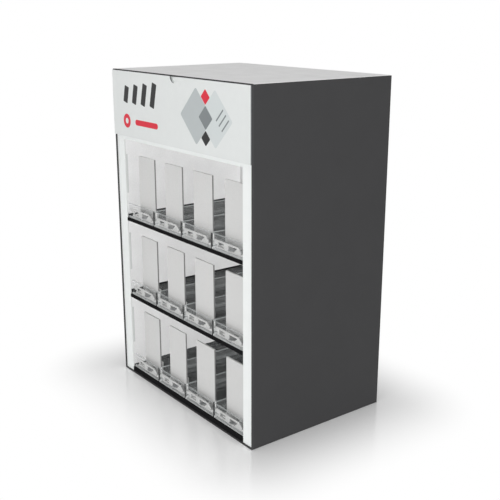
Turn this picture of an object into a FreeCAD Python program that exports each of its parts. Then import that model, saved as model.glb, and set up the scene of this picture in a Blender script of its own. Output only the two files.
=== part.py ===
import FreeCAD, Part
import math
import os
import re

import Sketcher
from FreeCAD import Vector

# Counter display cabinet of folded board with twelve spring-fed pack trays, in millimetres.
# +Z is up and the front faces -Y. The origin is the centre of the case's underside.

sizes = {
    # case of printed microflute board
    "case_width": 284.0,
    "case_depth": 196.0,
    "case_height": 400.0,
    "board": 1.5,
    "fold_radius": 1.2,
    # white frame glued in behind the case's front edges
    "frame_recess": 1.7,
    "frame_board": 1.5,
    "stile_width": 17.0,
    "opening_top": 315.0,
    "tab_depth": 11.0,
    "tab_tall": 50.0,
    "tab_rise": 28.0,
    # header card glued across the top of the front
    "header_inset": 0.8,
    "header_low": 319.8,
    "header_drop": 1.2,
    "header_card": 1.5,
    "thumb_radius": 7.2,
    # black shelves and base deck
    "deck_rise": 6.8,
    "level_pitch": 103.6,
    "shelf_card": 1.2,
    "shelf_lip": 3.8,
    "shelf_flange": 10.0,
    "opening_gap": 0.25,
    "card_gap": 0.2,
    "deck_inset": 10.5,
    "deck_foot": 9.0,
    # clear trays, one to a bay
    "tray_gap": 0.2,
    "tray_wall": 1.8,
    "tray_tall": 18.8,
    "tray_floor": 1.2,
    "tray_lens": 1.6,
    "tray_setback": 0.8,
    "tray_rear_gap": 4.5,
    "tray_stop": 8.0,
    "rail_left": 4.4,
    "rail_wall": 1.2,
    "rail_tall": 5.8,
    "rail_lip": 1.6,
    "rail_lip_card": 1.0,
    "rail_setback": 2.0,
    "track_width": 47.4,
    "anchor_deep": 0.7,
    "rib_tall": 0.5,
    "rib_wide": 1.4,
    "rib_inset": 5.0,
    # pushers: a paddle on a sled with a windowed nose
    "run_gap": 0.3,
    "sled_plate": 2.0,
    "sled_length": 30.0,
    "sled_narrow": 14.5,
    "nose_gap": 1.0,
    "nose_plate": 1.2,
    "nose_tall": 11.2,
    "nose_wing": 2.4,
    "nose_slope": 6.0,
    "paddle_left": 14.2,
    "paddle_width": 37.6,
    "paddle_tall": 80.0,
    "paddle_plate": 1.8,
    "paddle_setback": 9.2,
    "paddle_corner": 0.8,
    "window_high": 9.2,
    "window_one": 9.2,
    "window_one_wide": 11.0,
    "hook_long": 4.0,
    "window_two": 28.4,
    "window_two_wide": 16.4,
    # coiled spring strips between the cheeks of each sled
    "coil_radius": 4.6,
    "coil_bore": 2.6,
    "coil_width": 6.0,
    "strip_inset": 0.2,
    "cheek_plate": 1.2,
    "cheek_tall": 18.0,
}

bays = 4
levels = ["lower", "middle", "upper"]
rib_count = 3

doc = FreeCAD.newDocument("display_stand")
sheet = doc.addObject("Spreadsheet::Sheet", "Dims")
for row, (alias, value) in enumerate(sizes.items(), start=1):
    sheet.set("A%d" % row, alias)
    sheet.set("B%d" % row, str(value))
    sheet.setAlias("B%d" % row, alias)
doc.recompute()


def size_of(text):
    """Point every size's name in an expression at the sheet."""
    return re.sub(r"[a-z_]+", lambda word: "Dims." + word.group(), text)


def new_body(name):
    body = doc.addObject("PartDesign::Body", name)
    body.Label = name
    return body


def new_sketch(body, plane, offset="0"):
    """Sketch on an origin plane, moved along +Y (XZ), +Z (XY) or +X (YZ) by the offset."""
    sketch = body.newObject("Sketcher::SketchObject", body.Name + "_outline")
    origin_plane = [item for item in body.Origin.OriginFeatures if item.Role == plane][0]
    sketch.AttachmentSupport = [(origin_plane, "")]
    sketch.MapMode = "FlatFace"
    along = "-(%s)" if plane == "XZ_Plane" else "%s"
    sketch.setExpression("AttachmentOffset.Base.z", size_of(along % offset))
    return sketch


def pin_point(sketch, geometry, point, across, upward):
    """Hold a point of the sketch at two distances from the origin."""
    for kind, text in (("DistanceX", across), ("DistanceY", upward)):
        index = sketch.addConstraint(Sketcher.Constraint(kind, -1, 1, geometry, point, 1.0))
        sketch.setExpression("Constraints[%d]" % index, size_of(text))


def polygon(sketch, corners):
    """Closed outline through the corners, each held by its two distances."""
    turn = 2 * math.pi / len(corners)
    start = [Vector(9 * math.cos(turn * i), 9 * math.sin(turn * i), 0) for i in range(len(corners))]
    lines = [Part.LineSegment(start[i], start[(i + 1) % len(start)]) for i in range(len(start))]
    first = sketch.addGeometry(lines, False)[0]
    for i, (across, upward) in enumerate(corners):
        following = first + (i + 1) % len(corners)
        sketch.addConstraint(Sketcher.Constraint("Coincident", first + i, 2, following, 1))
        pin_point(sketch, first + i, 1, across, upward)


def rectangle(sketch, left, right, low, high):
    polygon(sketch, [(left, low), (right, low), (right, high), (left, high)])


def circle(sketch, across, upward, radius):
    index = sketch.addGeometry(Part.Circle(Vector(0, 0, 0), Vector(0, 0, 1), 2.0), False)
    pin_point(sketch, index, 3, across, upward)
    ring = sketch.addConstraint(Sketcher.Constraint("Radius", index, 2.0))
    sketch.setExpression("Constraints[%d]" % ring, size_of(radius))


def extrude(body, kind, sketch, length, turned=False):
    """Pad along the sketch's normal or pocket against it; turned reverses either."""
    feature = body.newObject("PartDesign::" + kind, body.Name + "_" + kind.lower())
    feature.Profile = sketch
    feature.Reversed = turned
    feature.setExpression("Length", size_of(length))
    return feature


def pad_back(body, sketch, length):
    """Pad a sketch of the XZ plane from its front face towards the back, +Y."""
    return extrude(body, "Pad", sketch, length, turned=True)


def fillet(body, base, radius, chosen):
    """Round the edges of the base for which chosen(edge) is true."""
    doc.recompute()
    names = ["Edge%d" % (i + 1) for i, edge in enumerate(base.Shape.Edges) if chosen(edge)]
    feature = body.newObject("PartDesign::Fillet", body.Name + "_rounding")
    feature.Base = (base, names)
    feature.setExpression("Radius", size_of(radius))
    return feature


def spans(edge, axis):
    """Length of an edge along one axis, 0 for X, 1 for Y and 2 for Z."""
    ends = [vertex.Point[axis] for vertex in edge.Vertexes]
    return max(ends) - min(ends)


# planes that several pieces share, as expressions of the sheet's sizes
inner_half = "(case_width / 2 - board)"
opening_half = "(case_width / 2 - board - stile_width)"
bay_pitch = "(2 * %s / %d)" % (opening_half, bays)
header_half = "(case_width / 2 - header_inset)"
case_front = "(-case_depth / 2)"
case_back = "(case_depth / 2 - board)"
frame_front = "(-case_depth / 2 + frame_recess)"
frame_back = "(-case_depth / 2 + frame_recess + frame_board)"
tray_front = "(-case_depth / 2 + frame_recess + frame_board + tray_setback)"
tray_depth = "(case_depth - board - frame_recess - frame_board - tray_setback - tray_rear_gap)"
track_left = "(rail_left + rail_wall)"
track_right = "(rail_left + rail_wall + track_width)"
sled_low = "(tray_floor + rib_tall + run_gap)"
sled_top = "(tray_floor + rib_tall + run_gap + sled_plate)"
nose_front = "(tray_lens + nose_gap)"
over_rail = "(rail_tall + run_gap)"
coil_line = "(window_two + strip_inset + coil_width / 2)"
level_height = ["deck_rise + %d * level_pitch" % i for i in range(len(levels))]


def make_case():
    """One folded sheet: sides, back, top and bottom, open at the front."""
    body = new_body("case_shell")
    outside = new_sketch(body, "XZ_Plane", case_front)
    rectangle(outside, "-case_width / 2", "case_width / 2", "0", "case_height")
    block = pad_back(body, outside, "case_depth")
    doc.recompute()
    back = block.Shape.BoundBox.YMax

    def is_fold(edge):
        runs_back = spans(edge, 1) > sizes["board"]
        return runs_back or min(vertex.Y for vertex in edge.Vertexes) > back - sizes["board"]

    fillet(body, block, "fold_radius", is_fold)
    inside = new_sketch(body, "XZ_Plane", case_front)
    rectangle(inside, "-" + inner_half, inner_half, "board", "case_height - board")
    extrude(body, "Pocket", inside, "case_depth - board")
    return body


def make_frame():
    """White frame with a top flange and side tabs folded back and glued inside the case."""
    body = new_body("front_frame")
    face = new_sketch(body, "XZ_Plane", frame_front)
    polygon(face, [
        ("-" + inner_half, "board"),
        ("-" + opening_half, "board"),
        ("-" + opening_half, "opening_top"),
        (opening_half, "opening_top"),
        (opening_half, "board"),
        (inner_half, "board"),
        (inner_half, "case_height - board"),
        ("-" + inner_half, "case_height - board"),
    ])
    pad_back(body, face, "frame_board")
    folded = new_sketch(body, "XZ_Plane", frame_back)
    rectangle(folded, "-" + inner_half, inner_half,
              "case_height - board - frame_board", "case_height - board")
    for height in level_height:
        low = height + " + tab_rise"
        rectangle(folded, "-" + inner_half, "-" + inner_half + " + frame_board", low, low + " + tab_tall")
        rectangle(folded, inner_half + " - frame_board", inner_half, low, low + " + tab_tall")
    pad_back(body, folded, "tab_depth")
    return body


def make_header():
    """Plain card across the front's top, with a thumb notch in its upper edge."""
    body = new_body("header_card")
    face = new_sketch(body, "XZ_Plane", case_front + " - header_card")
    rectangle(face, "-" + header_half, header_half, "header_low", "case_height - header_drop")
    pad_back(body, face, "header_card")
    notch = new_sketch(body, "XZ_Plane", case_front + " - header_card")
    circle(notch, "0", "case_height - header_drop", "thumb_radius")
    extrude(body, "Pocket", notch, "header_card")
    return body


def make_shelf(name, height):
    """Folded card: plate, front lip in the opening, side and rear flanges glued to the case."""
    body = new_body(name)
    plate = new_sketch(body, "XY_Plane", height + " - shelf_card")
    tongue = "(" + opening_half + " - opening_gap)"
    plate_front = "(" + frame_back + " + card_gap)"
    polygon(plate, [
        ("-" + tongue, frame_front),
        (tongue, frame_front),
        (tongue, plate_front),
        (inner_half, plate_front),
        (inner_half, case_back),
        ("-" + inner_half, case_back),
        ("-" + inner_half, plate_front),
        ("-" + tongue, plate_front),
    ])
    extrude(body, "Pad", plate, "shelf_card")
    lip = new_sketch(body, "XZ_Plane", frame_front)
    rectangle(lip, "-" + tongue, tongue, height + " - shelf_lip", height + " - shelf_card")
    pad_back(body, lip, "shelf_card")
    flanges = new_sketch(body, "XY_Plane", height + " - shelf_flange")
    polygon(flanges, [
        ("-" + inner_half, plate_front),
        ("-" + inner_half + " + shelf_card", plate_front),
        ("-" + inner_half + " + shelf_card", case_back + " - shelf_card"),
        (inner_half + " - shelf_card", case_back + " - shelf_card"),
        (inner_half + " - shelf_card", plate_front),
        (inner_half, plate_front),
        (inner_half, case_back),
        ("-" + inner_half, case_back),
    ])
    extrude(body, "Pad", flanges, "shelf_flange - shelf_card")
    return body


def make_deck():
    """Raised base: a hat section with feet glued to the bottom panel and a front lip."""
    body = new_body("base_deck")
    tongue = "(" + opening_half + " - opening_gap)"
    side = "(" + inner_half + " - deck_inset)"
    plate_front = "(" + frame_back + " + card_gap)"
    hat = new_sketch(body, "XZ_Plane", plate_front)
    polygon(hat, [
        ("-" + side + " - deck_foot", "board"),
        ("-" + side + " + shelf_card", "board"),
        ("-" + side + " + shelf_card", "deck_rise - shelf_card"),
        (side + " - shelf_card", "deck_rise - shelf_card"),
        (side + " - shelf_card", "board"),
        (side + " + deck_foot", "board"),
        (side + " + deck_foot", "board + shelf_card"),
        (side, "board + shelf_card"),
        (side, "deck_rise"),
        ("-" + side, "deck_rise"),
        ("-" + side, "board + shelf_card"),
        ("-" + side + " - deck_foot", "board + shelf_card"),
    ])
    pad_back(body, hat, case_back + " - " + plate_front)
    tread = new_sketch(body, "XY_Plane", "deck_rise - shelf_card")
    rectangle(tread, "-" + tongue, tongue, frame_front, plate_front + " + shelf_card")
    extrude(body, "Pad", tread, "shelf_card")
    lip = new_sketch(body, "XZ_Plane", frame_front)
    rectangle(lip, "-" + tongue, tongue, "board", "deck_rise - shelf_card")
    pad_back(body, lip, "shelf_card")
    return body


def make_tray():
    """Clear tray: floor, lens, right divider, lipped rails, ribs, end stop, spring anchor."""
    body = new_body("tray_pattern")
    left = "(tray_wall / 2 + tray_gap / 2)"
    right = "(" + bay_pitch + " + tray_wall / 2 - tray_gap / 2)"
    section = new_sketch(body, "XZ_Plane", "0")
    polygon(section, [
        (left, "0"),
        (right, "0"),
        (right, "tray_tall"),
        (right + " - tray_wall", "tray_tall"),
        (right + " - tray_wall", "tray_floor"),
        (left, "tray_floor"),
    ])
    pad_back(body, section, tray_depth)
    lens = new_sketch(body, "XZ_Plane", "0")
    rectangle(lens, left, right + " - tray_wall", "tray_floor", "tray_tall")
    pad_back(body, lens, "tray_lens")
    rails = new_sketch(body, "XZ_Plane", "tray_lens + rail_setback")
    under_lip = "rail_tall - rail_lip_card"
    polygon(rails, [
        ("rail_left", "tray_floor"),
        (track_left, "tray_floor"),
        (track_left, under_lip),
        (track_left + " + rail_lip", under_lip),
        (track_left + " + rail_lip", "rail_tall"),
        ("rail_left", "rail_tall"),
    ])
    polygon(rails, [
        (track_right, "tray_floor"),
        (track_right + " + rail_wall", "tray_floor"),
        (track_right + " + rail_wall", "rail_tall"),
        (track_right + " - rail_lip", "rail_tall"),
        (track_right + " - rail_lip", under_lip),
        (track_right, under_lip),
    ])
    for i in range(rib_count):
        share = " + (track_width - 2 * rib_inset - rib_wide) * %d / %d" % (i, rib_count - 1)
        start = track_left + " + rib_inset" + share
        rectangle(rails, start, start + " + rib_wide", "tray_floor", "tray_floor + rib_tall")
    pad_back(body, rails, tray_depth + " - tray_lens - rail_setback")
    stop = new_sketch(body, "XZ_Plane", tray_depth + " - tray_lens")
    rectangle(stop, left, right + " - tray_wall", "tray_floor", "tray_stop")
    pad_back(body, stop, "tray_lens")
    anchor = new_sketch(body, "XZ_Plane", "tray_lens")
    rectangle(anchor, coil_line + " - coil_width / 2", coil_line + " + coil_width / 2",
              "tray_floor", sled_top)
    pad_back(body, anchor, "anchor_deep")
    return body


def make_pusher():
    """White moulded pusher: sled under the rail lips, paddle, windowed nose and coil cheeks."""
    body = new_body("pusher_pattern")
    neck_left = "(rail_left + rail_wall + rail_lip + run_gap)"
    neck_right = "(rail_left + rail_wall + track_width - rail_lip - run_gap)"
    paddle_right = "(paddle_left + paddle_width)"
    sled = new_sketch(body, "XY_Plane", sled_low)
    polygon(sled, [
        (track_left + " + run_gap", nose_front),
        (track_right + " - run_gap", nose_front),
        (track_right + " - run_gap", "paddle_setback + paddle_plate"),
        (track_left + " + run_gap + sled_narrow", nose_front + " + sled_length"),
        (track_left + " + run_gap", nose_front + " + sled_length"),
    ])
    extrude(body, "Pad", sled, "sled_plate")
    paddle = new_sketch(body, "XZ_Plane", "paddle_setback")
    polygon(paddle, [
        ("paddle_left", sled_top),
        (neck_right, sled_top),
        (neck_right, over_rail),
        (paddle_right, over_rail),
        (paddle_right, "paddle_tall"),
        ("paddle_left", "paddle_tall"),
    ])
    panel = pad_back(body, paddle, "paddle_plate")
    doc.recompute()
    top = panel.Shape.BoundBox.ZMax

    def is_top_corner(edge):
        at_top = min(vertex.Z for vertex in edge.Vertexes) > top - sizes["sled_plate"]
        return at_top and spans(edge, 1) > sizes["paddle_plate"] / 2

    fillet(body, panel, "paddle_corner", is_top_corner)
    nose = new_sketch(body, "XZ_Plane", nose_front)
    polygon(nose, [
        (neck_left, sled_top),
        (neck_left, over_rail),
        ("nose_wing", over_rail),
        ("nose_wing", "nose_tall"),
        (neck_right + " - nose_slope", "nose_tall"),
        (neck_right, over_rail),
        (neck_right, sled_top),
    ])
    pad_back(body, nose, "nose_plate")
    hook_low = "(" + sled_top + " + window_high) / 2 - nose_plate / 2"
    hook_high = "(" + sled_top + " + window_high) / 2 + nose_plate / 2"
    window_one_right = "(window_one + window_one_wide)"
    window_two_right = "(window_two + window_two_wide)"
    windows = new_sketch(body, "XZ_Plane", nose_front)
    polygon(windows, [
        ("window_one", sled_top),
        (window_one_right, sled_top),
        (window_one_right, hook_low),
        (window_one_right + " - hook_long", hook_low),
        (window_one_right + " - hook_long", hook_high),
        (window_one_right, hook_high),
        (window_one_right, "window_high"),
        ("window_one", "window_high"),
    ])
    polygon(windows, [
        ("window_two", sled_top),
        (window_two_right + " - nose_slope", sled_top),
        (window_two_right, "window_high"),
        ("window_two", "window_high"),
    ])
    extrude(body, "Pocket", windows, "nose_plate")
    slot = new_sketch(body, "XZ_Plane", "paddle_setback")
    rectangle(slot, "paddle_left + cheek_plate", window_two_right, sled_top, "window_high")
    extrude(body, "Pocket", slot, "paddle_plate")
    coil_span = "(2 * coil_radius + 2 * run_gap)"
    for inner_side in (" - coil_width / 2 - run_gap - cheek_plate", " + coil_width / 2 + run_gap"):
        cheek = new_sketch(body, "YZ_Plane", coil_line + inner_side)
        polygon(cheek, [
            ("paddle_setback + paddle_plate", sled_top),
            ("paddle_setback + paddle_plate + " + coil_span, sled_top),
            ("paddle_setback + paddle_plate + " + coil_span, sled_top + " + coil_radius"),
            ("paddle_setback + paddle_plate", "cheek_tall"),
        ])
        extrude(body, "Pad", cheek, "cheek_plate")
    return body


def make_spring():
    """Spring strip wound into a tight coil, taken as one ring, lying across the sled."""
    body = new_body("spring_pattern")
    ring = new_sketch(body, "YZ_Plane", coil_line + " - coil_width / 2")
    across = "paddle_setback + paddle_plate + run_gap + coil_radius"
    upward = sled_top + " + coil_radius"
    circle(ring, across, upward, "coil_radius")
    circle(ring, across, upward, "coil_bore")
    extrude(body, "Pad", ring, "coil_width")
    return body


def place_copy(pattern, name, level, bay):
    """Body that repeats a pattern in one bay of one level."""
    body = new_body(name)
    copy = doc.addObject("PartDesign::FeatureBase", name + "_copy")
    copy.BaseFeature = pattern
    body.Group = [copy]
    body.Tip = copy
    body.setExpression("Placement.Base.x", size_of("%s * %g" % (bay_pitch, bay - bays / 2)))
    body.setExpression("Placement.Base.y", size_of(tray_front))
    body.setExpression("Placement.Base.z", size_of(level_height[level]))
    return body


parts = [make_case(), make_frame(), make_header(), make_deck()]
parts.append(make_shelf("shelf_middle", level_height[1]))
parts.append(make_shelf("shelf_upper", level_height[2]))
patterns = {"tray": make_tray(), "pusher": make_pusher(), "spring": make_spring()}
doc.recompute()
for kind, pattern in patterns.items():
    for level, level_name in enumerate(levels):
        for bay in range(bays):
            parts.append(place_copy(pattern, "%s_%s_%d" % (kind, level_name, bay + 1), level, bay))
doc.recompute()

for item in doc.Objects:
    if "Invalid" in item.State or "Error" in item.State:
        raise RuntimeError("%s did not build: %s" % (item.Name, item.State))
for part in parts:
    if part.Shape.isNull() or not part.Shape.isValid():
        raise RuntimeError("%s has no valid shape" % part.Label)

os.makedirs("parts", exist_ok=True)
for part in parts:
    part.Shape.exportStep(os.path.join("parts", part.Label + ".step"))
    box = part.Shape.BoundBox
    print("%-18s %9.1f mm3  x %.2f..%.2f  y %.2f..%.2f  z %.2f..%.2f" % (
        part.Label, part.Shape.Volume, box.XMin, box.XMax, box.YMin, box.YMax, box.ZMin, box.ZMax))
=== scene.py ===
import math

import bpy
import numpy as np
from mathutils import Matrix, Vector


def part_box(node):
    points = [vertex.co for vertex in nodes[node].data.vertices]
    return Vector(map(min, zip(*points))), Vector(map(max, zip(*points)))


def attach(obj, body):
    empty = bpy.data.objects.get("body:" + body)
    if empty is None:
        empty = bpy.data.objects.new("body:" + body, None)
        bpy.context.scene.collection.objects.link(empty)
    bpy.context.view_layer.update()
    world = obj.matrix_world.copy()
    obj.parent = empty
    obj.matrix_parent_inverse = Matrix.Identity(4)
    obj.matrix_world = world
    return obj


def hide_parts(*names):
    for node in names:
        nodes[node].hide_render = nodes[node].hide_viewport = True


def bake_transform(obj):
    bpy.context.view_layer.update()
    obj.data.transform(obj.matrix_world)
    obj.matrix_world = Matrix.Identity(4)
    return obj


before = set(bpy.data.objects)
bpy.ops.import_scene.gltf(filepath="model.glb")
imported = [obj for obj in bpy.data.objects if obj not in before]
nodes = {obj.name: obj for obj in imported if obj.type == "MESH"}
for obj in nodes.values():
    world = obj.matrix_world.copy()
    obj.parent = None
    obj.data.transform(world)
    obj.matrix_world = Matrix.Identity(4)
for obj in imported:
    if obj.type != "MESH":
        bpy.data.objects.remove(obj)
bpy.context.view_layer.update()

mm = 0.001
print("frame loaded:", len(nodes), "nodes")

caseLow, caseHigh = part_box("case_shell")
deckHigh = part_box("base_deck")[1]
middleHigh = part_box("shelf_middle")[1]
trayLow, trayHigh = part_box("tray_lower_1")
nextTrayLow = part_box("tray_lower_2")[0]
levelNames = ["lower", "middle", "upper"]
bayNumbers = [1, 2, 3, 4]
bayPitch = nextTrayLow.x - trayLow.x
trayGap = nextTrayLow.x - trayHigh.x
levelPitch = middleHigh.z - deckHigh.z


def hexToLinear(code):
    # sRGB hex to linear: the usual two-piece curve, a straight foot and a 2.4 power.
    parts = [int(code[i:i + 2], 16) / 255 for i in (1, 3, 5)]
    return tuple(c / 12.92 if c <= 0.04045 else ((c + 0.055) / 1.055) ** 2.4 for c in parts) + (1.0,)


def addNode(tree, kind, inputs=None, **settings):
    # One node with its settings; an input takes a value or the socket that feeds it.
    node = tree.nodes.new(kind)
    for key, value in settings.items():
        setattr(node, key, value)
    for key, value in (inputs or {}).items():
        if isinstance(value, bpy.types.NodeSocket):
            tree.links.new(value, node.inputs[key])
        else:
            node.inputs[key].default_value = value
    return node


def startMaterial(name):
    material = bpy.data.materials.new(name)
    material.use_nodes = True
    tree = material.node_tree
    tree.nodes.clear()
    coordinates = addNode(tree, "ShaderNodeTexCoord")
    return material, tree, coordinates


def paperFibres(tree, where, fibre, contrast):
    # Felted fibres: fine noise of the fibre's length over a broader cloud, centred on 1.
    fine = addNode(tree, "ShaderNodeTexNoise", {"Vector": where, "Scale": 1 / fibre, "Detail": 3.0})
    cloud = addNode(tree, "ShaderNodeTexNoise", {"Vector": where, "Scale": 0.06 / fibre, "Detail": 2.0})
    both = addNode(tree, "ShaderNodeMath", {0: fine.outputs[0], 1: cloud.outputs[0]}, operation="ADD")
    span = addNode(tree, "ShaderNodeMapRange", {
        "Value": both.outputs[0], "From Min": 0.7, "From Max": 1.3,
        "To Min": 1 - contrast, "To Max": 1 + contrast})
    return span.outputs[0], fine.outputs[0]


def dress(names, material):
    for name in names:
        slots = nodes[name].material_slots
        if slots:
            slots[0].material = material
        else:
            nodes[name].data.materials.append(material)


# Case: microflute board, printed dark grey outside; the bare liner shows on top and inside.
caseBoard = {
    "print": "#282829",
    "printEdge": "#303031",
    "liner": "#E3E3E3",
    "skin": 1.3 * mm,
    "wrap": 1.8 * mm,
    "underSkin": 0.3 * mm,
    "bareFrom": 0.7,
    "fibre": 1.6 * mm,
    "contrast": 0.05,
    "flute": 2.4 * mm,
    "fluteShare": 0.05,
    "roughness": 0.68,
    "index": 1.4,
}


def makeCaseBoard():
    # Printed face by place and by facing: sides, back and cut edges dark, the rest bare liner.
    material, tree, coordinates = startMaterial("printedMicrofluteBoard")
    where = coordinates.outputs["Object"]
    axes = addNode(tree, "ShaderNodeSeparateXYZ", {0: where})
    facing = addNode(tree, "ShaderNodeSeparateXYZ", {0: coordinates.outputs["Normal"]})
    across = addNode(tree, "ShaderNodeMath", {0: axes.outputs["X"]}, operation="ABSOLUTE")
    side = addNode(tree, "ShaderNodeMath", {0: across.outputs[0], 1: caseHigh.x - caseBoard["skin"]},
                   operation="GREATER_THAN")
    back = addNode(tree, "ShaderNodeMath", {0: axes.outputs["Y"], 1: caseHigh.y - caseBoard["skin"]},
                   operation="GREATER_THAN")
    front = addNode(tree, "ShaderNodeMath", {0: axes.outputs["Y"], 1: caseLow.y + caseBoard["wrap"]},
                    operation="LESS_THAN")
    under = addNode(tree, "ShaderNodeMath", {0: axes.outputs["Z"], 1: caseLow.z + caseBoard["underSkin"]},
                    operation="LESS_THAN")
    printed = addNode(tree, "ShaderNodeMath", {0: facing.outputs["Z"], 1: caseBoard["bareFrom"]},
                      operation="LESS_THAN")
    wrap = addNode(tree, "ShaderNodeMath", {0: side.outputs[0], 1: back.outputs[0]}, operation="MAXIMUM")
    wrap = addNode(tree, "ShaderNodeMath", {0: wrap.outputs[0], 1: under.outputs[0]}, operation="MAXIMUM")
    wrap = addNode(tree, "ShaderNodeMath", {0: wrap.outputs[0], 1: printed.outputs[0]}, operation="MULTIPLY")
    grain, fine = paperFibres(tree, where, caseBoard["fibre"], caseBoard["contrast"])
    colour = addNode(tree, "ShaderNodeMix", {
        0: wrap.outputs[0], 6: hexToLinear(caseBoard["liner"]), 7: hexToLinear(caseBoard["print"])},
        data_type="RGBA")
    colour = addNode(tree, "ShaderNodeMix", {
        0: front.outputs[0], 6: colour.outputs[2], 7: hexToLinear(caseBoard["printEdge"])},
        data_type="RGBA")
    colour = addNode(tree, "ShaderNodeVectorMath", {0: colour.outputs[2], 1: grain}, operation="MULTIPLY")
    # A wave's phase is 20 times its scale times the distance, so one flute is one turn of it.
    flutes = addNode(tree, "ShaderNodeTexWave", {
        "Vector": where, "Scale": 2 * math.pi / 20 / caseBoard["flute"], "Distortion": 0.2},
        bands_direction="DIAGONAL")
    relief = addNode(tree, "ShaderNodeMath", {0: flutes.outputs[1], 1: caseBoard["fluteShare"], 2: fine},
                     operation="MULTIPLY_ADD")
    bump = addNode(tree, "ShaderNodeBump", {
        "Height": relief.outputs[0], "Strength": 0.12, "Distance": 0.05 * mm})
    shader = addNode(tree, "ShaderNodeBsdfPrincipled", {
        "Base Color": colour.outputs[0], "Roughness": caseBoard["roughness"], "IOR": caseBoard["index"],
        "Normal": bump.outputs[0]})
    addNode(tree, "ShaderNodeOutputMaterial", {"Surface": shader.outputs[0]})
    return material


# Frame: white-coated board; its grey reverse shows on cut edges, tabs and back.
frameBoard = {
    "name": "coatedWhiteBoard",
    "face": "#F3F6F5",
    "reverse": "#C6C8C7",
    "reverseWay": (0, 1, 0),
    "reverseFrom": -0.6,
    "fibre": 0.6 * mm,
    "contrast": 0.012,
    "roughness": 0.5,
    "index": 1.47,
}

# Shelves and riser: card printed matt black above, bare liner underneath.
shelfCard = {
    "name": "blackPrintedCard",
    "face": "#19191A",
    "reverse": "#D6D6D5",
    "reverseWay": (0, 0, -1),
    "reverseFrom": 0.6,
    "fibre": 0.7 * mm,
    "contrast": 0.05,
    "roughness": 0.9,
    "index": 1.12,
}


def makeOneSidedBoard(board):
    # Face or reverse by the part of the normal along the reverse's way; felted fibres over both.
    material, tree, coordinates = startMaterial(board["name"])
    facing = addNode(tree, "ShaderNodeVectorMath", {0: coordinates.outputs["Normal"], 1: board["reverseWay"]},
                     operation="DOT_PRODUCT")
    turned = addNode(tree, "ShaderNodeMath", {0: facing.outputs["Value"], 1: board["reverseFrom"]},
                     operation="GREATER_THAN")
    grain, fine = paperFibres(tree, coordinates.outputs["Object"], board["fibre"], board["contrast"])
    tone = addNode(tree, "ShaderNodeMix", {
        0: turned.outputs[0], 6: hexToLinear(board["face"]), 7: hexToLinear(board["reverse"])},
        data_type="RGBA")
    tone = addNode(tree, "ShaderNodeVectorMath", {0: tone.outputs[2], 1: grain}, operation="MULTIPLY")
    bump = addNode(tree, "ShaderNodeBump", {"Height": fine, "Strength": 0.1, "Distance": 0.04 * mm})
    shader = addNode(tree, "ShaderNodeBsdfPrincipled", {
        "Base Color": tone.outputs[0], "Roughness": board["roughness"], "IOR": board["index"],
        "Normal": bump.outputs[0]})
    addNode(tree, "ShaderNodeOutputMaterial", {"Surface": shader.outputs[0]})
    return material


# Header: coated card with a plain geometric print. Places are in mm from the card's centre.
headerCard = {
    "card": "#E3E6E5",
    "black": "#161617",
    "red": "#DB1F38",
    "grey": "#B9BFC0",
    "pale": "#D3D9D9",
    "steel": "#7E8486",
    # core: dark grey of the cut edges, partly the card's core and partly painted shade.
    "core": "#5C5E5F",
    "cutBelow": 0.6,
    "edge": 0.18 * mm,
    "fibre": 0.5 * mm,
    "contrast": 0.012,
    "roughness": 0.42,
    "index": 1.5,
}
headerLow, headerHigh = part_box("header_card")
headerMiddle = (headerLow + headerHigh) / 2


def barMask(tree, where, centre, half, corner, turn):
    # Rounded bar: distance outside a box of half sizes, less its corner radius, cut at zero.
    local = addNode(tree, "ShaderNodeMapping", {
        "Vector": where,
        "Location": (headerMiddle.x + centre[0] * mm, 0, headerMiddle.z + centre[1] * mm),
        "Rotation": (0, math.radians(turn), 0)}, vector_type="TEXTURE")
    folded = addNode(tree, "ShaderNodeVectorMath", {0: local.outputs[0]}, operation="ABSOLUTE")
    core = ((half[0] - corner) * mm, 1.0, (half[1] - corner) * mm)
    outside = addNode(tree, "ShaderNodeVectorMath", {0: folded.outputs[0], 1: core}, operation="SUBTRACT")
    outside = addNode(tree, "ShaderNodeVectorMath", {0: outside.outputs[0], 1: (0, 0, 0)},
                      operation="MAXIMUM")
    reach = addNode(tree, "ShaderNodeVectorMath", {0: outside.outputs[0]}, operation="LENGTH")
    mask = addNode(tree, "ShaderNodeMapRange", {
        "Value": reach.outputs["Value"],
        "From Min": corner * mm - headerCard["edge"] / 2, "From Max": corner * mm + headerCard["edge"] / 2,
        "To Min": 1.0, "To Max": 0.0})
    return mask.outputs[0]


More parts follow.
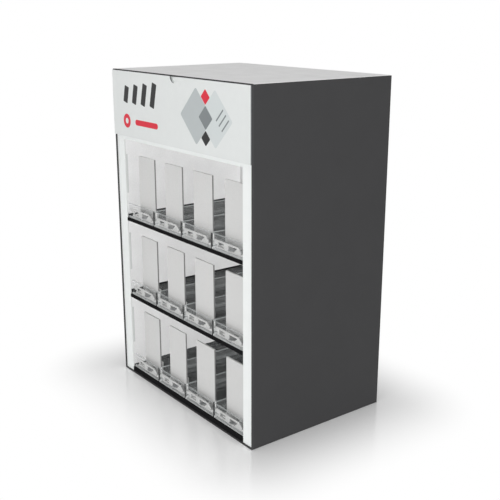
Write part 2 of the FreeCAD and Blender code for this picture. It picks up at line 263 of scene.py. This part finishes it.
def makeHeaderCard():
    # Print laid down in order, each shape over the last; cut edges get a dark grey that is partly the greyer
    # core and partly painted shade.
    material, tree, coordinates = startMaterial("printedHeaderCard")
    where = coordinates.outputs["Object"]
    colour = hexToLinear(headerCard["card"])
    # Each shape: its ink, centre, half sizes, corner radius, and turn in degrees.
    shapes = []
    for i in range(4):
        shapes.append(("black", (-108 + 21 * i, 12 + i), (5.0, 10 + 1.5 * i), 1.2, 14))
    shapes.append(("red", (-108, -20), (8.5, 8.5), 8.5, 0))
    shapes.append(("card", (-108, -20), (3.4, 3.4), 3.4, 0))
    shapes.append(("red", (-62, -20), (26, 3.4), 3.4, 0))
    shapes.append(("grey", (44, 0), (22, 22), 2.5, 45))
    shapes.append(("pale", (80, 0), (22, 22), 2.5, 45))
    shapes.append(("steel", (62, 0), (9.2, 9.2), 1.5, 45))
    shapes.append(("red", (62, 22), (6, 6), 1.2, 45))
    shapes.append(("black", (62, -22), (6, 6), 1.2, 45))
    for i in range(3):
        shapes.append(("steel", (88 + 5 * i, 5 - 5 * i), (9, 0.9), 0.5, -45))
    for ink, centre, half, corner, turn in shapes:
        mask = barMask(tree, where, centre, half, corner, turn)
        layer = addNode(tree, "ShaderNodeMix", {0: mask, 6: colour, 7: hexToLinear(headerCard[ink])},
                        data_type="RGBA")
        colour = layer.outputs[2]
    facing = addNode(tree, "ShaderNodeSeparateXYZ", {0: coordinates.outputs["Normal"]})
    cut = addNode(tree, "ShaderNodeMath", {0: facing.outputs["Y"]}, operation="ABSOLUTE")
    cut = addNode(tree, "ShaderNodeMath", {0: cut.outputs[0], 1: headerCard["cutBelow"]},
                  operation="LESS_THAN")
    # Cut edges: dark grey, partly core and partly painted shade.
    tone = addNode(tree, "ShaderNodeMix", {
        0: cut.outputs[0], 6: colour, 7: hexToLinear(headerCard["core"])}, data_type="RGBA")
    grain, fine = paperFibres(tree, where, headerCard["fibre"], headerCard["contrast"])
    tone = addNode(tree, "ShaderNodeVectorMath", {0: tone.outputs[2], 1: grain}, operation="MULTIPLY")
    bump = addNode(tree, "ShaderNodeBump", {"Height": fine, "Strength": 0.06, "Distance": 0.03 * mm})
    shader = addNode(tree, "ShaderNodeBsdfPrincipled", {
        "Base Color": tone.outputs[0], "Roughness": headerCard["roughness"], "IOR": headerCard["index"],
        "Normal": bump.outputs[0]})
    addNode(tree, "ShaderNodeOutputMaterial", {"Surface": shader.outputs[0]})
    return material


# Trays: clear moulded polystyrene. Faces are nearly invisible; divider ends carry painted dark shade, lens
# rims and bottom edges painted highlights, and the hazy grey track painted reflection streaks.
clearTray = {
    "face": "#C4C8C8",
    # corner: painted dark shade on each divider's front end, where the clear edge looks dark.
    "corner": "#141515",
    # rim: painted highlight along the lens's top edge.
    "rim": "#BABEBE",
    # Pale band at the lens's bottom edge: painted highlight.
    "footHighlight": "#D8DADA",
    # track: hazy grey, streaked with painted reflection.
    "track": "#A6A9A9",
    "clear": 0.05,
    "cornerCover": 1.0,
    "rimCover": 0.5,
    "footHighlightCover": 0.6,
    "trackCover": 0.15,
    "highlightDepth": 12 * mm,
    "frostAndHighlightTall": 1.0 * mm,
    "streak": 1.6 * mm,
    "streakDrawn": 0.03,
    "streakLow": 0.3,
    "streakHigh": 1.7,
    "hair": 0.01 * mm,
    "wall": 1.8 * mm,
    "lens": 1.6 * mm,
    "rimTall": 0.6 * mm,
    "floor": 1.2 * mm,
    "trackLeft": 5.6 * mm,
    "trackRight": 53.0 * mm,
    "roughness": 0.12,
    "index": 1.59,
}


def makeClearTray():
    # Opacity by place in the bay: divider ends dense with painted dark shade, rims and bottom edges painted
    # highlights, track hazy grey with painted reflection streaks, faces clear.
    material, tree, coordinates = startMaterial("clearPolystyrene")
    where = coordinates.outputs["Object"]
    axes = addNode(tree, "ShaderNodeSeparateXYZ", {0: where})
    bayStart = trayLow.x - trayGap / 2 - clearTray["wall"] - bayPitch
    fromBay = addNode(tree, "ShaderNodeMath", {0: axes.outputs["X"], 1: bayStart}, operation="SUBTRACT")
    inBay = addNode(tree, "ShaderNodeMath", {0: fromBay.outputs[0], 1: bayPitch}, operation="MODULO")
    fromDeck = addNode(tree, "ShaderNodeMath", {0: axes.outputs["Z"], 1: trayLow.z - clearTray["hair"]},
                       operation="SUBTRACT")
    rise = addNode(tree, "ShaderNodeMath", {0: fromDeck.outputs[0], 1: levelPitch}, operation="MODULO")
    # Lens top edge: painted highlight.
    rim = addNode(tree, "ShaderNodeMath", {
        0: rise.outputs[0], 1: trayHigh.z - trayLow.z - clearTray["rimTall"]}, operation="GREATER_THAN")
    atDivider = addNode(tree, "ShaderNodeMath", {0: inBay.outputs[0], 1: clearTray["wall"]},
                        operation="LESS_THAN")
    # Divider's front end: painted dark shade.
    inCorner = addNode(tree, "ShaderNodeMath", {0: axes.outputs["Y"], 1: trayLow.y + clearTray["lens"]},
                       operation="LESS_THAN")
    corner = addNode(tree, "ShaderNodeMath", {0: atDivider.outputs[0], 1: inCorner.outputs[0]},
                     operation="MULTIPLY")
    # Low band: painted highlight at the front, hazy grey track further back.
    low = addNode(tree, "ShaderNodeMath", {
        0: rise.outputs[0], 1: clearTray["floor"] + clearTray["frostAndHighlightTall"]}, operation="LESS_THAN")
    # Depth of the painted highlight behind the lens.
    atFront = addNode(tree, "ShaderNodeMath", {0: axes.outputs["Y"], 1: trayLow.y + clearTray["highlightDepth"]},
                      operation="LESS_THAN")
    footHighlight = addNode(tree, "ShaderNodeMath", {0: low.outputs[0], 1: atFront.outputs[0]}, operation="MULTIPLY")
    pastLeft = addNode(tree, "ShaderNodeMath", {
        0: inBay.outputs[0], 1: clearTray["trackLeft"] + clearTray["wall"] / 2}, operation="GREATER_THAN")
    beforeRight = addNode(tree, "ShaderNodeMath", {
        0: inBay.outputs[0], 1: clearTray["trackRight"] + clearTray["wall"] / 2}, operation="LESS_THAN")
    track = addNode(tree, "ShaderNodeMath", {0: pastLeft.outputs[0], 1: beforeRight.outputs[0]},
                    operation="MULTIPLY")
    track = addNode(tree, "ShaderNodeMath", {0: track.outputs[0], 1: low.outputs[0]}, operation="MULTIPLY")
    # Painted reflection streaks: noise drawn out along the track's length.
    drawn = addNode(tree, "ShaderNodeMapping", {"Vector": where, "Scale": (1, clearTray["streakDrawn"], 1)})
    streakedReflection = addNode(tree, "ShaderNodeTexNoise", {
        "Vector": drawn.outputs[0], "Scale": 1 / clearTray["streak"], "Detail": 3.0})
    streakedReflection = addNode(tree, "ShaderNodeMapRange", {
        "Value": streakedReflection.outputs[0], "From Min": 0.3, "From Max": 0.7,
        "To Min": clearTray["streakLow"], "To Max": clearTray["streakHigh"]})
    track = addNode(tree, "ShaderNodeMath", {0: track.outputs[0], 1: streakedReflection.outputs[0]}, operation="MULTIPLY")
    colour = hexToLinear(clearTray["face"])
    alpha = clearTray["clear"]
    # Layer in turn: track with painted reflection streaks, painted highlights on the bottom edge and rim,
    # painted shade on divider ends.
    for mask, tone in ((track, "track"), (footHighlight, "footHighlight"), (rim, "rim"), (corner, "corner")):
        layer = addNode(tree, "ShaderNodeMix", {
            0: mask.outputs[0], 6: colour, 7: hexToLinear(clearTray[tone])}, data_type="RGBA")
        colour = layer.outputs[2]
        layer = addNode(tree, "ShaderNodeMath", {
            0: mask.outputs[0], 1: clearTray[tone + "Cover"], 2: alpha},
            operation="MULTIPLY_ADD", use_clamp=True)
        alpha = layer.outputs[0]
    shader = addNode(tree, "ShaderNodeBsdfPrincipled", {
        "Base Color": colour, "Alpha": alpha,
        "Roughness": clearTray["roughness"], "IOR": clearTray["index"]})
    addNode(tree, "ShaderNodeOutputMaterial", {"Surface": shader.outputs[0]})
    return material


# Pushers: moulded body whose plate has its side faces painted darker grey as painted shade, and painted shade
# in its hollows.
pusher = {
    "face": "#D7D7D6",
    # Side faces of the plate: painted shade, a darker grey than the faces.
    "sideShade": "#727272",
    "sideShadeFrom": 0.6,
    "plateFrom": 14 * mm,
    # Reach and darkest tone of the painted shade in hollows.
    "paintedShadeReach": 15 * mm,
    "paintedShadeFloor": 0.0,
    "pebble": 1.2 * mm,
    "contrast": 0.04,
    "roughness": 0.45,
    "index": 1.59,
}


def makeWhitePlastic():
    # High-impact polystyrene: a satin pebble; hollows of the moulding, near its own walls, get painted shade
    # from an occlusion test.
    material, tree, coordinates = startMaterial("whitePolystyrene")
    where = coordinates.outputs["Object"]
    axes = addNode(tree, "ShaderNodeSeparateXYZ", {0: where})
    facing = addNode(tree, "ShaderNodeSeparateXYZ", {0: coordinates.outputs["Normal"]})
    sideways = addNode(tree, "ShaderNodeMath", {0: facing.outputs["X"]}, operation="ABSOLUTE")
    sideways = addNode(tree, "ShaderNodeMath", {0: sideways.outputs[0], 1: pusher["sideShadeFrom"]},
                       operation="GREATER_THAN")
    fromDeck = addNode(tree, "ShaderNodeMath", {0: axes.outputs["Z"], 1: trayLow.z}, operation="SUBTRACT")
    rise = addNode(tree, "ShaderNodeMath", {0: fromDeck.outputs[0], 1: levelPitch}, operation="MODULO")
    plate = addNode(tree, "ShaderNodeMath", {0: rise.outputs[0], 1: pusher["plateFrom"]},
                    operation="GREATER_THAN")
    # The plate's side faces get painted shade.
    sideShade = addNode(tree, "ShaderNodeMath", {0: sideways.outputs[0], 1: plate.outputs[0]},
                   operation="MULTIPLY")
    colour = addNode(tree, "ShaderNodeMix", {
        0: sideShade.outputs[0], 6: hexToLinear(pusher["face"]), 7: hexToLinear(pusher["sideShade"])}, data_type="RGBA")
    # Painted shade in hollows: the colour darkens where the part's own walls are near.
    openness = addNode(tree, "ShaderNodeAmbientOcclusion", {"Distance": pusher["paintedShadeReach"]}, only_local=True)
    light = addNode(tree, "ShaderNodeMapRange", {
        "Value": openness.outputs["AO"], "To Min": pusher["paintedShadeFloor"]})
    pebble = addNode(tree, "ShaderNodeTexNoise", {
        "Vector": where, "Scale": 1 / pusher["pebble"], "Detail": 3.0})
    tone = addNode(tree, "ShaderNodeMapRange", {
        "Value": pebble.outputs[0], "From Min": 0.25, "From Max": 0.75,
        "To Min": 1 - pusher["contrast"], "To Max": 1 + pusher["contrast"]})
    tone = addNode(tree, "ShaderNodeMath", {0: tone.outputs[0], 1: light.outputs[0]}, operation="MULTIPLY")
    colour = addNode(tree, "ShaderNodeVectorMath", {0: colour.outputs[2], 1: tone.outputs[0]},
                     operation="MULTIPLY")
    bump = addNode(tree, "ShaderNodeBump", {
        "Height": pebble.outputs[0], "Strength": 0.1, "Distance": 0.03 * mm})
    shader = addNode(tree, "ShaderNodeBsdfPrincipled", {
        "Base Color": colour.outputs[0], "Roughness": pusher["roughness"], "IOR": pusher["index"],
        "Normal": bump.outputs[0]})
    addNode(tree, "ShaderNodeOutputMaterial", {"Surface": shader.outputs[0]})
    return material


# Springs: flat strip wound on itself, its free end running forward to the tray's anchor.
spring = {
    "gauge": 0.15 * mm,
    "bore": 2.6 * mm,
    "turns": 6,
    "stepsPerTurn": 28,
    "freeSteps": 16,
    "steel": "#9A9C9E",
    "linesPerMetre": (4000, 150, 150),
    "smoothest": 0.25,
    "roughest": 0.42,
}


def makeSpringSteel():
    # Cold-rolled strip: bright steel with fine lines along the rolling direction.
    material, tree, coordinates = startMaterial("rolledSpringSteel")
    stretch = addNode(tree, "ShaderNodeMapping", {
        "Vector": coordinates.outputs["Object"], "Scale": spring["linesPerMetre"]})
    lines = addNode(tree, "ShaderNodeTexNoise", {"Vector": stretch.outputs[0], "Scale": 1.0})
    rough = addNode(tree, "ShaderNodeMapRange", {
        "Value": lines.outputs[0], "To Min": spring["smoothest"], "To Max": spring["roughest"]})
    shader = addNode(tree, "ShaderNodeBsdfPrincipled", {
        "Base Color": hexToLinear(spring["steel"]), "Metallic": 1.0, "Roughness": rough.outputs[0]})
    addNode(tree, "ShaderNodeOutputMaterial", {"Surface": shader.outputs[0]})
    return material


perBay = ["%s_%d" % (level, bay) for level in levelNames for bay in bayNumbers]
dress(["case_shell"], makeCaseBoard())
dress(["front_frame"], makeOneSidedBoard(frameBoard))
dress(["header_card"], makeHeaderCard())
dress(["base_deck", "shelf_middle", "shelf_upper"], makeOneSidedBoard(shelfCard))
dress(["tray_" + name for name in perBay], makeClearTray())
dress(["pusher_" + name for name in perBay], makeWhitePlastic())
springSteel = makeSpringSteel()
print("materials assigned")


def makeStrip(name, path, low, high):
    # Strip swept along (y, z) points: each face stands off the path by half the gauge.
    along = np.gradient(path, axis=0)
    along = along / np.linalg.norm(along, axis=1)[:, None]
    stand = np.stack([-along[:, 1], along[:, 0]], axis=1) * spring["gauge"] / 2
    corners = []
    for x, rim in ((low, path - stand), (high, path - stand), (high, path + stand), (low, path + stand)):
        corners.append(np.column_stack([np.full(len(path), x), rim]))
    points = np.stack(corners, axis=1).reshape(-1, 3)
    last = 4 * (len(path) - 1)
    faces = [(0, 1, 2, 3), (last + 3, last + 2, last + 1, last)]
    for start in range(0, last, 4):
        for k in range(4):
            turn = (k + 1) % 4
            faces.append((start + 4 + k, start + 4 + turn, start + turn, start + k))
    mesh = bpy.data.meshes.new(name)
    mesh.from_pydata(points.tolist(), [], faces)
    mesh.materials.append(springSteel)
    piece = bpy.data.objects.new(name, mesh)
    bpy.context.scene.collection.objects.link(piece)
    return piece


def makeSpring(name):
    # Coil: a spiral from its lowest point inwards, the radius shrinking evenly with the angle.
    low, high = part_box("spring_" + name)
    middle = (low + high) / 2
    outer = (high.z - low.z) / 2 - spring["gauge"] / 2
    share = np.linspace(0, 1, spring["turns"] * spring["stepsPerTurn"] + 1)
    angle = -math.pi / 2 + 2 * math.pi * spring["turns"] * share
    radius = outer + (spring["bore"] - outer) * share
    path = np.column_stack([middle.y + radius * np.cos(angle), middle.z + radius * np.sin(angle)])
    coil = makeStrip("coil_" + name, path, low.x, high.x)
    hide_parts("spring_" + name)
    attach(coil, "feeder_" + name)
    # Free end: level from the lens to under the coil's middle; the real strip draws out as the pusher goes
    # back, but this one is fixed in place.
    front = trayLow.y + clearTray["lens"]
    height = middle.z - outer
    reach = np.linspace(front, middle.y, spring["freeSteps"])
    path = np.column_stack([reach, np.full(len(reach), height)])
    strip = makeStrip("strip_" + name, path, low.x, high.x)
    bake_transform(strip)


for name in perBay:
    makeSpring(name)
print("springs made")

# Studio: camera as in the photograph, pale floor, soft boxes at a plain level.
studio = {
    "lens": 60.0,
    "sensor": 36.0,
    "cameraPlace": (0.79796, -0.60056, 0.46956),
    "azimuth": 52.704,
    "elevation": 16.0726,
    "worldLevel": 0.35,
    "aim": (0, 0, 0.2),
    "fadeStart": -0.01,
    "fadeReach": 0.125,
    "sheet": "#FAFAFA",
    "sheen": 0.14,
    "sheenRoughness": 0.16,
    "floorHalf": 6.0,
}
softBoxes = {
    "keyBox": {"place": (0.5, -2.4, 0.9), "size": 1.8, "power": 13.0, "shadows": True},
    "sideFill": {"place": (2.7, -0.8, 0.35), "size": 1.5, "power": 63.0, "shadows": False},
    "topBox": {"place": (0.1, -0.2, 2.2), "size": 1.6, "power": 11.0, "shadows": True},
}


def makeCamera():
    data = bpy.data.cameras.new("studioCamera")
    data.lens = studio["lens"]
    data.sensor_width = studio["sensor"]
    camera = bpy.data.objects.new("studioCamera", data)
    camera.location = studio["cameraPlace"]
    tilt = math.radians(90 - studio["elevation"])
    camera.rotation_euler = (tilt, 0, math.radians(studio["azimuth"]))
    bpy.context.scene.collection.objects.link(camera)
    bpy.context.scene.camera = camera


def addSoftBox(name, box):
    data = bpy.data.lights.new(name, "AREA")
    data.shape = "SQUARE"
    data.size = box["size"]
    data.energy = box["power"]
    data.use_shadow = box["shadows"]
    lamp = bpy.data.objects.new(name, data)
    lamp.location = box["place"]
    lamp.rotation_euler = (Vector(box["place"]) - Vector(studio["aim"])).to_track_quat("Z", "Y").to_euler()
    bpy.context.scene.collection.objects.link(lamp)


def makeWorld():
    # Even grey light; rays that see the surroundings straight on find white.
    world = bpy.data.worlds.new("studioWorld")
    bpy.context.scene.world = world
    world.use_nodes = True
    tree = world.node_tree
    tree.nodes.clear()
    path = addNode(tree, "ShaderNodeLightPath")
    seen = addNode(tree, "ShaderNodeMath", {
        0: path.outputs["Is Camera Ray"], 1: path.outputs["Is Glossy Ray"]}, operation="MAXIMUM")
    seen = addNode(tree, "ShaderNodeMath", {
        0: seen.outputs[0], 1: path.outputs["Is Transmission Ray"]}, operation="MAXIMUM")
    light = addNode(tree, "ShaderNodeBackground", {"Color": (1, 1, 1, 1), "Strength": studio["worldLevel"]})
    white = addNode(tree, "ShaderNodeBackground", {"Color": (1, 1, 1, 1), "Strength": 1.0})
    mix = addNode(tree, "ShaderNodeMixShader", {0: seen.outputs[0], 1: light.outputs[0], 2: white.outputs[0]})
    addNode(tree, "ShaderNodeOutputWorld", {"Surface": mix.outputs[0]})


def makeFloor():
    # Pale sheet with a soft sheen that fades into plain white away from the object.
    half = studio["floorHalf"]
    mesh = bpy.data.meshes.new("studioFloor")
    corners = [(-half, -half, 0), (half, -half, 0), (half, half, 0), (-half, half, 0)]
    mesh.from_pydata(corners, [], [(0, 1, 2, 3)])
    floor = bpy.data.objects.new("studioFloor", mesh)
    bpy.context.scene.collection.objects.link(floor)
    material, tree, coordinates = startMaterial("paleSheet")
    folded = addNode(tree, "ShaderNodeVectorMath", {0: coordinates.outputs["Object"]}, operation="ABSOLUTE")
    beyond = addNode(tree, "ShaderNodeVectorMath", {0: folded.outputs[0], 1: (caseHigh.x, caseHigh.y, 0)},
                     operation="SUBTRACT")
    beyond = addNode(tree, "ShaderNodeVectorMath", {0: beyond.outputs[0], 1: (0, 0, 0)}, operation="MAXIMUM")
    away = addNode(tree, "ShaderNodeVectorMath", {0: beyond.outputs[0]}, operation="LENGTH")
    fade = addNode(tree, "ShaderNodeMapRange", {
        "Value": away.outputs["Value"], "From Min": studio["fadeStart"], "From Max": studio["fadeReach"]},
        interpolation_type="SMOOTHSTEP")
    path = addNode(tree, "ShaderNodeLightPath")
    seen = addNode(tree, "ShaderNodeMath", {
        0: path.outputs["Is Camera Ray"], 1: path.outputs["Is Transmission Ray"]}, operation="MAXIMUM")
    seen = addNode(tree, "ShaderNodeMath", {0: seen.outputs[0], 1: fade.outputs[0]}, operation="MULTIPLY")
    sheet = addNode(tree, "ShaderNodeBsdfDiffuse", {"Color": hexToLinear(studio["sheet"])})
    sheen = addNode(tree, "ShaderNodeBsdfGlossy", {
        "Color": (1, 1, 1, 1), "Roughness": studio["sheenRoughness"]})
    both = addNode(tree, "ShaderNodeMixShader", {
        0: studio["sheen"], 1: sheet.outputs[0], 2: sheen.outputs[0]})
    white = addNode(tree, "ShaderNodeEmission", {"Color": (1, 1, 1, 1), "Strength": 1.0})
    mix = addNode(tree, "ShaderNodeMixShader", {0: seen.outputs[0], 1: both.outputs[0], 2: white.outputs[0]})
    addNode(tree, "ShaderNodeOutputMaterial", {"Surface": mix.outputs[0]})
    mesh.materials.append(material)


makeCamera()
makeWorld()
makeFloor()
for name, box in softBoxes.items():
    addSoftBox(name, box)
bpy.context.scene.view_settings.view_transform = "Standard"
print("studio ready")
